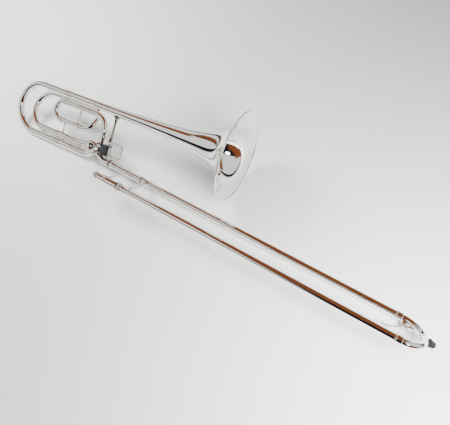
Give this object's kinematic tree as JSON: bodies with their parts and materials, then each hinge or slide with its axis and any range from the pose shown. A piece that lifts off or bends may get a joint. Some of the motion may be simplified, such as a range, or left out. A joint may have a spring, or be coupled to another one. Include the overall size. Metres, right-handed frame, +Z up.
{
  "type": "trombone",
  "caption": "Silver-plated tenor trombone with a rotary F attachment, closed wrap, thumb trigger and hand slide, lying on its side.",
  "frame": {"origin": "centre of the footprint's box on the table that the instrument lies on, with the hand slide closed", "axes": "+X along the hand slide towards its bow and the bell's mouth, +Z up from the table, +Y from the hand slide towards the bell"},
  "size_m": [1.1976, 0.3114, 0.2181],
  "materials": {
    "bell_silver": "polished silver plate",
    "tube_silver": "polished silver plate",
    "fitting_silver": "polished silver plate on turned and cast fittings",
    "valve_brass": "machined brass and bronze",
    "steel": "turned steel",
    "cork": "natural cork, matt",
    "rubber": "moulded black rubber",
    "guard_leather": "black leather hand guard"
  },
  "bodies": {
    "bell_section": {"bell": "bell_silver", "bell_rim_wire": "bell_silver", "upper_slide_sleeve": "tube_silver", "lower_slide_sleeve": "tube_silver", "sleeve_ferrules": "fitting_silver", "rear_neck_elbow": "tube_silver", "neck_pipe": "tube_silver", "neck_tenon": "fitting_silver", "valve_casing": "fitting_silver", "bearing_plate": "valve_brass", "valve_cap": "fitting_silver", "valve_back_plate": "fitting_silver", "stop_bumpers": "rubber", "f_lower_sleeve": "tube_silver", "f_upper_sleeve": "tube_silver", "f_sleeve_ferrules": "fitting_silver", "wrap_front_bow": "tube_silver", "loop_lower_leg": "tube_silver", "loop_rear_bow": "tube_silver", "loop_upper_leg": "tube_silver", "valve_bend": "tube_silver", "wrap_ferrules": "fitting_silver", "loop_brace": "fitting_silver", "wrap_brace": "fitting_silver", "leg_brace": "fitting_silver", "bell_brace": "fitting_silver", "lever_bracket": "fitting_silver", "hinge_pin": "steel", "hand_guard": "guard_leather", "lever_spring": "steel"},
    "rotor": {"rotor": "valve_brass", "stop_arm": "valve_brass", "stop_arm_screw": "steel"},
    "linkage": {"linkage_rod": "fitting_silver"},
    "thumb_lever": {"thumb_lever": "fitting_silver"},
    "lock_nut": {"lock_nut": "fitting_silver"},
    "tuning_slide": {"tuning_bow": "tube_silver", "tuning_legs": "tube_silver"},
    "f_tuning_slide": {"f_tuning_bow": "tube_silver", "f_tuning_legs": "tube_silver"},
    "inner_slide": {"slide_receiver": "fitting_silver", "mouthpiece_receiver": "fitting_silver", "cork_barrels": "fitting_silver", "slide_corks": "cork", "inner_tubes": "tube_silver", "leadpipe": "valve_brass", "inner_brace": "fitting_silver"},
    "slide_lock": {"slide_lock_ring": "fitting_silver"},
    "outer_slide": {"outer_tubes": "tube_silver", "slide_ferrules": "fitting_silver", "outer_brace": "fitting_silver", "slide_bow": "tube_silver", "bow_ferrules": "fitting_silver", "rubber_bumper": "rubber", "water_key_saddle": "fitting_silver", "water_key_screw": "steel", "water_key_spring": "steel"},
    "water_key": {"water_key_lever": "fitting_silver", "water_key_cork": "cork"}
  },
  "joints": [
    {"name": "tuning_slide_pull", "type": "slide", "parent": "bell_section", "child": "tuning_slide", "axis": [-0.998, -0.0553, -0.0318], "range_m": [0, 0.065]},
    {"name": "f_tuning_slide_pull", "type": "slide", "parent": "bell_section", "child": "f_tuning_slide", "axis": [-0.998, -0.0553, -0.0318], "range_m": [0, 0.018]},
    {"name": "rotor_turn", "type": "hinge", "parent": "bell_section", "child": "rotor", "pos_m": [-0.30027, -0.06075, 0.03048], "axis": [0.0085, -0.6092, 0.7929], "range_deg": [0, 90]},
    {"name": "thumb_lever_press", "type": "hinge", "parent": "bell_section", "child": "thumb_lever", "pos_m": [-0.25293, -0.05506, 0.04443], "axis": [-0.0632, 0.791, 0.6085], "range_deg": [0, 20.74], "stiffness_Nm_per_rad": 0.12, "springref_deg": -20.05},
    {"name": "linkage_swing", "type": "hinge", "parent": "rotor", "child": "linkage", "pos_m": [-0.2958, -0.04481, 0.01834], "axis": [-0.0085, 0.6092, -0.7929], "range_deg": [0, 90]},
    {"name": "lock_nut_turn", "type": "hinge", "parent": "bell_section", "child": "lock_nut", "pos_m": [-0.23887, -0.07642, 0.01778], "axis": [0.9999, 0, -0.0108], "continuous": true},
    {"name": "slide_swivel", "type": "hinge", "parent": "bell_section", "child": "inner_slide", "pos_m": [-0.21887, -0.07642, 0.01757], "axis": [0.9999, 0, -0.0108], "range_deg": [-15, 15]},
    {"name": "slide_lock_turn", "type": "hinge", "parent": "inner_slide", "child": "slide_lock", "pos_m": [-0.13824, -0.14311, 0.07563], "axis": [0.9999, 0, -0.0108], "range_deg": [0, 30]},
    {"name": "hand_slide_travel", "type": "slide", "parent": "inner_slide", "child": "outer_slide", "axis": [0.9999, 0, -0.0108], "range_m": [0, 0.6]},
    {"name": "water_key_open", "type": "hinge", "parent": "outer_slide", "child": "water_key", "pos_m": [0.54012, -0.09308, 0.01278], "axis": [-0.0105, -0.1988, -0.98], "range_deg": [0, 18], "stiffness_Nm_per_rad": 0.05, "springref_deg": -20.05}
  ],
  "couplings": [
    {"joint": "thumb_lever_press", "follows": "rotor_turn", "ratio": 0.23043},
    {"joint": "linkage_swing", "follows": "rotor_turn", "ratio": 1}
  ]
}
